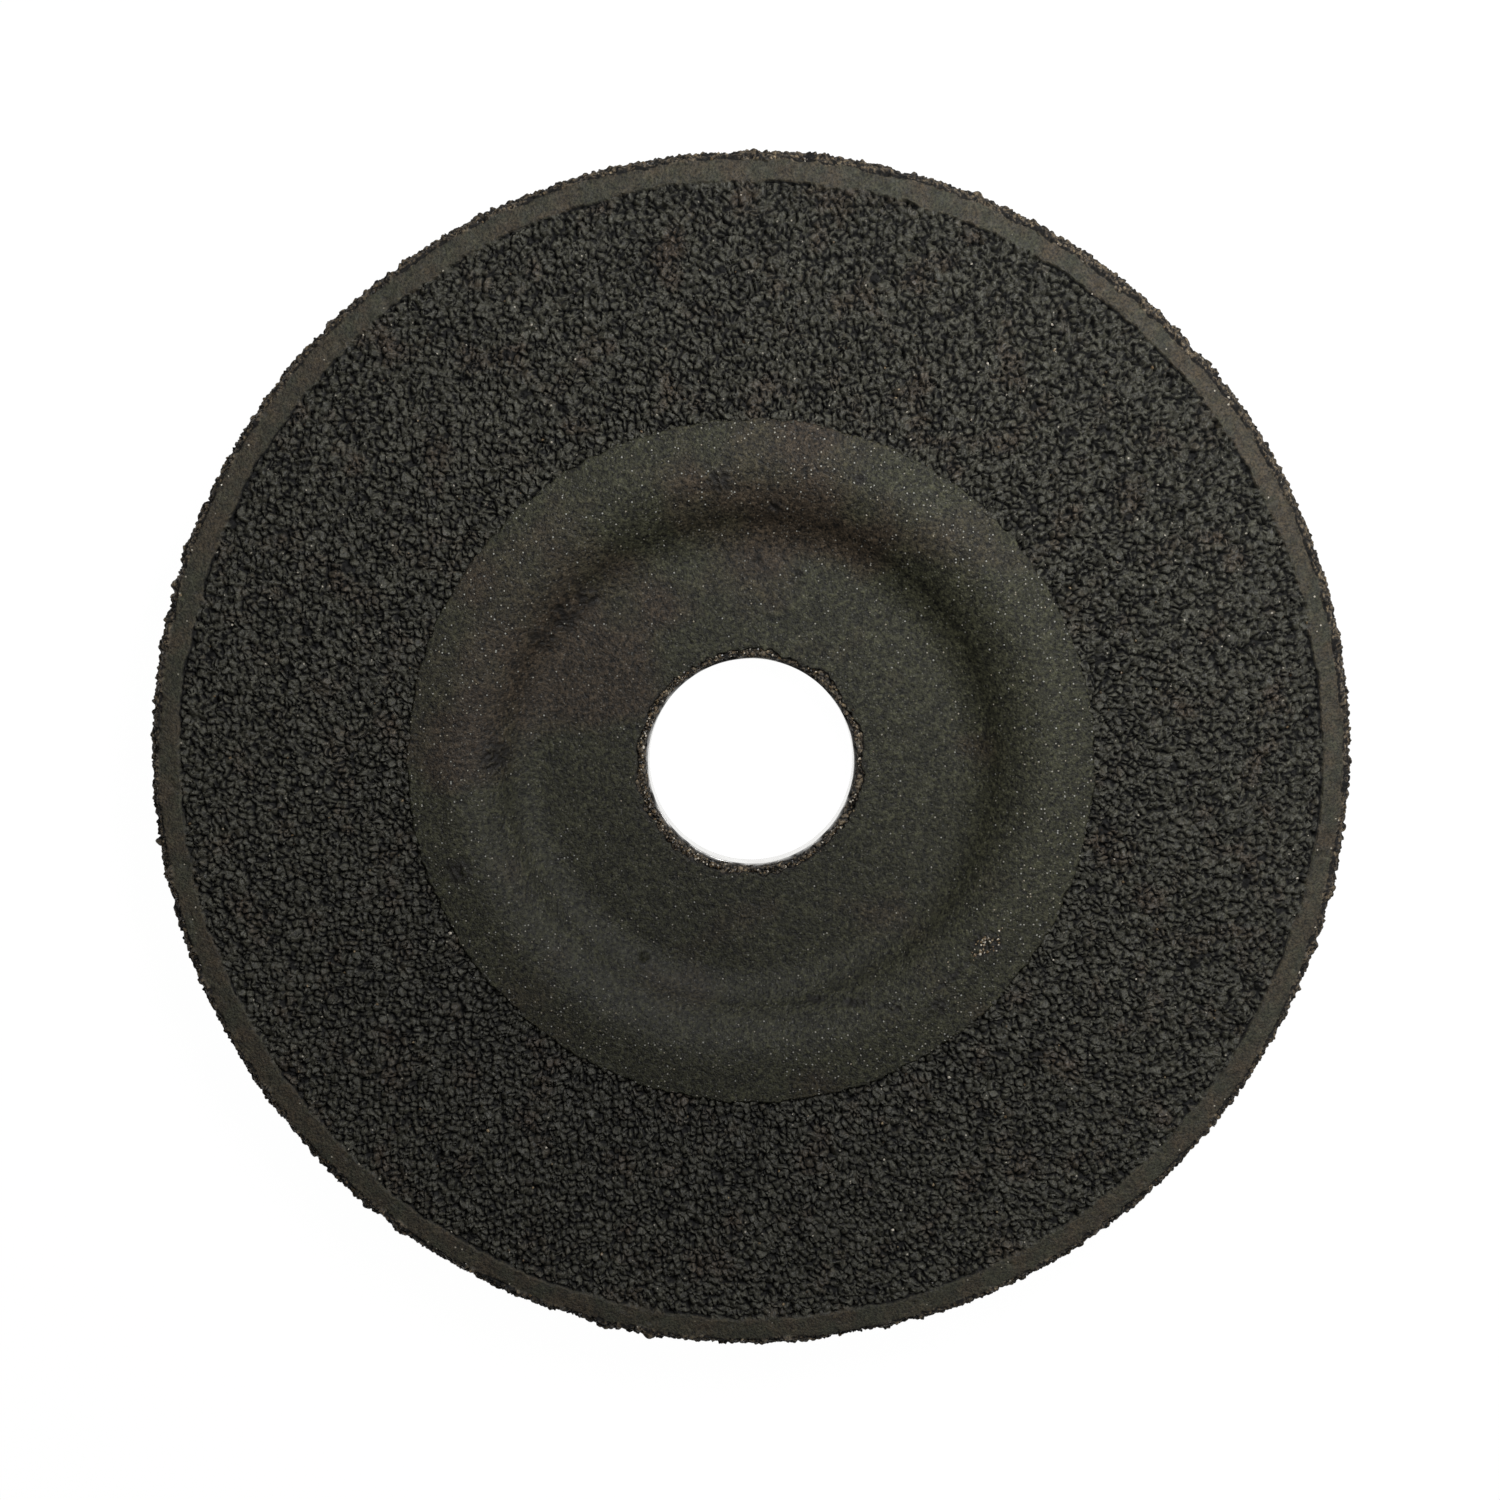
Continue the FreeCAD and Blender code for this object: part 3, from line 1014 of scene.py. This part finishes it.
def abrasive_material():
    """Black bonded grit: grey pebbles, crevices darkened with painted shade, the browner smooth band and the
    broken edge.
    """
    material, tree, shader = new_material("abrasive", 0.68, specular=0.5)
    place = object_place(tree)
    stain = spread(tree, cloud(tree, place, 5.0, 11, 4.0, 0.6), 0.53, 0.68)
    pebble = blend(tree, stain, (0.0335, 0.0325, 0.0230), (0.0420, 0.0310, 0.0205))
    band_stain = spread(tree, cloud(tree, place, 3.0, 12, 5.0, 0.65), 0.4, 0.6)
    band = blend(tree, band_stain, (0.0255, 0.0255, 0.0150), (0.0350, 0.0265, 0.0155))
    grit_tone = spread(tree, cloud(tree, place, 0.4, 13), 0.35, 0.65)
    grit = blend(tree, grit_tone, (0.013, 0.010, 0.006), (0.14, 0.105, 0.062))
    colour = blend(tree, field(tree, "band"), pebble, band)
    colour = blend(tree, field(tree, "grit"), colour, grit)
    grain = cloud(tree, place, 0.26, 14, 2.0, 0.7)
    colour = scaled_colour(tree, colour, spread(tree, grain, 0.33, 0.67, 0.2, 1.9))
    coarse = cloud(tree, place, 0.9, 17, 3.0, 0.6)
    colour = scaled_colour(tree, colour, spread(tree, coarse, 0.3, 0.7, 0.62, 1.38))
    bright = specks(tree, place, 0.36, 0.014, 15)
    colour = blend(tree, bright, colour, (0.36, 0.33, 0.27))
    # Painted shade: the colour falls to near black in the crevices, the grit's gaps, the groove and the
    # pits.
    dark = spread(tree, field(tree, "crevice"), 0.2, 0.6)
    colour = scaled_colour(tree, colour, spread(tree, dark, 0.0, 1.0, 1.0, 0.03))
    # Painted shade towards the lower left.
    colour = scaled_colour(tree, colour, painted_shade_lower_left(tree, place))
    rough = spread(tree, cloud(tree, place, 0.45, 16), 0.3, 0.7, 0.46, 0.72)
    rough = added(tree, rough, field(tree, "band"), 0.16)
    rough = added(tree, rough, dark, 0.3)
    feed(tree, shader, colour, rough, grain, 0.17)
    return material


def grain_material():
    """Single grains of abrasive: dark brown and black, with amber, tan and white ones that glint."""
    material, tree, shader = new_material("grain", 0.3)
    tone = field(tree, "tone")
    stops = add_node(tree, "ShaderNodeValToRGB", {"Fac": tone}).outputs["Color"]
    colours = stops.node.color_ramp
    colours.interpolation = "CONSTANT"
    colours.elements[0].color = (0.006, 0.005, 0.003, 1)
    colours.elements[1].position = 0.34
    colours.elements[1].color = (0.028, 0.017, 0.009, 1)
    for position, colour in ((0.5, (0.06, 0.044, 0.027)), (0.67, (0.13, 0.09, 0.048)),
                             (0.81, (0.23, 0.175, 0.105)), (0.91, (0.46, 0.42, 0.35))):
        colours.elements.new(position).color = (*colour, 1)
    place = object_place(tree)
    dirt = cloud(tree, place, 0.15, 21)
    colour = scaled_colour(tree, stops, spread(tree, dirt, 0.3, 0.7, 0.6, 1.2))
    feed(tree, shader, colour, spread(tree, dirt, 0.3, 0.7, 0.2, 0.45), dirt, 0.02)
    return material


def steel_material():
    """Thin pressed steel, turned in fine rings; the barrel's front end is dark and not metallic."""
    material, tree, shader = new_material("ring_steel", 0.32, metallic=1.0)
    place = object_place(tree)
    rise = add_node(tree, "ShaderNodeSeparateXYZ", {0: place}).outputs["Z"]
    rings = add_node(tree, "ShaderNodeCombineXYZ", {0: from_axis(tree, place), 1: rise}).outputs[0]
    lines = cloud(tree, rings, 0.08, 31)
    patches = cloud(tree, place, 2.5, 32, 3.0)
    steel = blend(tree, spread(tree, patches, 0.35, 0.65), (0.74, 0.73, 0.71), (0.84, 0.84, 0.82))
    # The barrel's front end is made dark and not metallic.
    dark_front_end = spread(tree, added(tree, rise, patches, 1.6 * MM), 4.1 * MM, 4.5 * MM)
    colour = blend(tree, dark_front_end, steel, (0.012, 0.011, 0.009))
    tree.links.new(spread(tree, dark_front_end, 0.0, 1.0, 1.0, 0.0), shader.inputs["Metallic"])
    worn = spread(tree, lines, 0.3, 0.7, 0.16, 0.3)
    feed(tree, shader, colour, added(tree, worn, dark_front_end, 0.25), lines, 0.008)
    return material


def paper_material():
    """Plain charcoal paper with a pale ring near each of its edges, fibres and scuffs."""
    material, tree, shader = new_material("label_paper", 0.78)
    place = object_place(tree)
    across = from_axis(tree, place)
    fibres = cloud(tree, place, 0.35, 41, 4.0, 0.65)
    scuffs = spread(tree, cloud(tree, place, 3.0, 42, 5.0, 0.7), 0.56, 0.75)
    outer_line = between(tree, across, label_radius - 2.4, label_radius - 1.2)
    inner_line = between(tree, across, flange_radius + 2.2, flange_radius + 3.0)
    line = math_of(tree, "MAXIMUM", outer_line, inner_line)
    colour = blend(tree, line, (0.085, 0.095, 0.105), (0.5, 0.5, 0.47))
    colour = scaled_colour(tree, colour, spread(tree, fibres, 0.3, 0.7, 0.85, 1.15))
    colour = blend(tree, math_of(tree, "MULTIPLY", scuffs, 0.5), colour, (0.05, 0.048, 0.042))
    feed(tree, shader, colour, spread(tree, fibres, 0.3, 0.7, 0.68, 0.88), fibres, 0.02)
    return material


def fibre_material(name, lengthwise):
    """Resin-soaked glass yarn: fine fibres along it, amber where the resin is thin."""
    material, tree, shader = new_material(name, 0.42)
    place = object_place(tree)
    stretch = (0.06, 1.0, 1.0) if lengthwise == "x" else (1.0, 0.06, 1.0)
    drawn = stretched(tree, place, stretch)
    fibres = cloud(tree, drawn, 0.1, 51)
    soak = spread(tree, cloud(tree, place, 3.5, 52, 3.0), 0.38, 0.66)
    colour = blend(tree, soak, (0.035, 0.03, 0.02), (0.13, 0.105, 0.06))
    colour = scaled_colour(tree, colour, spread(tree, fibres, 0.3, 0.7, 0.65, 1.3))
    feed(tree, shader, colour, spread(tree, fibres, 0.3, 0.7, 0.35, 0.6), fibres, 0.03)
    return material


def all_materials():
    """Every material of the disc by its short name."""
    return {
        "resin": resin_material(),
        "abrasive": abrasive_material(),
        "grain": grain_material(),
        "steel": steel_material(),
        "paper": paper_material(),
        "warp": fibre_material("glass_fibre_warp", "y"),
        "weft": fibre_material("glass_fibre_weft", "x"),
    }


def dress_inner_nets(materials):
    """Gives the nets sealed inside the disc, which stay as the CAD made them, their glass-fibre material."""
    for net, direction in itertools.product(("centre", "hub"), ("warp", "weft")):
        node = frame["nodes"][f"{net}_net_{direction}"]
        node.data.materials.clear()
        node.data.materials.append(materials[direction])


# Camera, light and floor

def add_camera():
    """Square on, a little above the centre, near enough that the bore's far edge looks smaller."""
    distance = 160.0
    tilt = math.radians(4.66)
    aim = Vector((-0.1, 1.75, face[1]))
    away = Vector((0.0002, math.sin(tilt), math.cos(tilt))).normalized()
    right = Vector((0, 1, 0)).cross(away).normalized()
    up = away.cross(right)
    camera = bpy.data.cameras.new("camera")
    camera.sensor_width = 36.0
    camera.lens = 36.96
    camera.clip_start = 0.01
    holder = bpy.data.objects.new("camera", camera)
    turn = Matrix((right, up, away)).transposed().to_4x4()
    holder.matrix_world = Matrix.Translation((aim + away * distance) * MM) @ turn
    bpy.context.scene.collection.objects.link(holder)
    bpy.context.scene.camera = holder


def add_lamp(name, azimuth, power, elevation=51, distance=160, side=72):
    """A square soft lamp that faces the disc, from a direction in degrees at a distance in mm."""
    lamp = bpy.data.lights.new(name, "AREA")
    lamp.shape = "SQUARE"
    lamp.size = side * MM
    lamp.energy = power
    holder = bpy.data.objects.new(name, lamp)
    turn = math.radians(azimuth)
    rise = math.radians(elevation)
    towards = Vector((math.cos(rise) * math.cos(turn), math.cos(rise) * math.sin(turn), math.sin(rise)))
    target = Vector((0, 0, face[1]))
    holder.location = (target + towards * distance) * MM
    holder.rotation_euler = towards.to_track_quat("Z", "Y").to_euler()
    bpy.context.scene.collection.objects.link(holder)


def shown_ray(tree):
    """1 for camera, mirrored and passing rays, which see the plain background."""
    path = add_node(tree, "ShaderNodeLightPath").outputs
    return math_of(tree, "MAXIMUM", path["Is Camera Ray"],
                   math_of(tree, "MAXIMUM", path["Is Glossy Ray"], path["Is Transmission Ray"]))


def add_world(strength):
    """Even soft light from all round, seen as plain white behind the disc."""
    world = bpy.data.worlds.new("studio")
    world.use_nodes = True
    tree = world.node_tree
    background = tree.nodes["Background"]
    background.inputs["Color"].default_value = (1.0, 1.0, 1.0, 1.0)
    camera_ray = add_node(tree, "ShaderNodeLightPath").outputs["Is Camera Ray"]
    tree.links.new(spread(tree, camera_ray, 0.0, 1.0, strength, 1.0), background.inputs["Strength"])
    bpy.context.scene.world = world


def add_floor():
    """The floor under the back flange. It shows near white and keeps the disc's faint shadow."""
    half = 3000.0
    corners = [(-half, -half), (half, -half), (half, half), (-half, half)]
    mesh = bpy.data.meshes.new("floor")
    mesh.from_pydata([Vector((*corner, -0.02)) * MM for corner in corners], [], [(0, 1, 2, 3)])
    floor = bpy.data.objects.new("floor", mesh)
    bpy.context.scene.collection.objects.link(floor)
    material, tree, shader = new_material("floor", 0.9, specular=0.1)
    shader.inputs["Base Color"].default_value = (0.55, 0.55, 0.54, 1.0)
    glow = add_node(tree, "ShaderNodeEmission", {"Color": (1.0, 1.0, 1.0, 1.0), "Strength": 1.06}).outputs[0]
    share = math_of(tree, "MULTIPLY", shown_ray(tree), 0.93)
    mixed = add_node(tree, "ShaderNodeMixShader", {0: share, 1: shader.outputs[0], 2: glow}).outputs[0]
    tree.links.new(mixed, tree.nodes["Material Output"].inputs["Surface"])
    mesh.materials.append(material)


def build():
    """The whole scene."""
    add_camera()
    add_lamp("key_lamp", azimuth=54, power=0.275)
    add_lamp("left_lamp", azimuth=140, power=0.042)
    add_lamp("right_lamp", azimuth=-25, power=0.045)
    add_world(0.035)
    add_floor()
    materials = all_materials()
    working_face(materials)
    abrasive_hub(materials)
    hub_skin(materials)
    back_face(materials)
    net_direction("net_warp", 0, (materials["warp"], "glass_fibre", "back_net_warp"))
    net_direction("net_weft", 1, (materials["weft"], "glass_fibre", "back_net_weft"))
    paper_label(materials)
    steel_ring(materials)
    loose = (materials["grain"], "abrasive", "front_abrasive_layer")
    rim_grains(loose)
    bore_grains(loose)
    face_grains(loose)
    scuff_grains((materials["grain"], "resin_skin", "hub_facing"))
    dress_inner_nets(materials)
    bpy.context.scene.view_settings.view_transform = "Standard"


build()
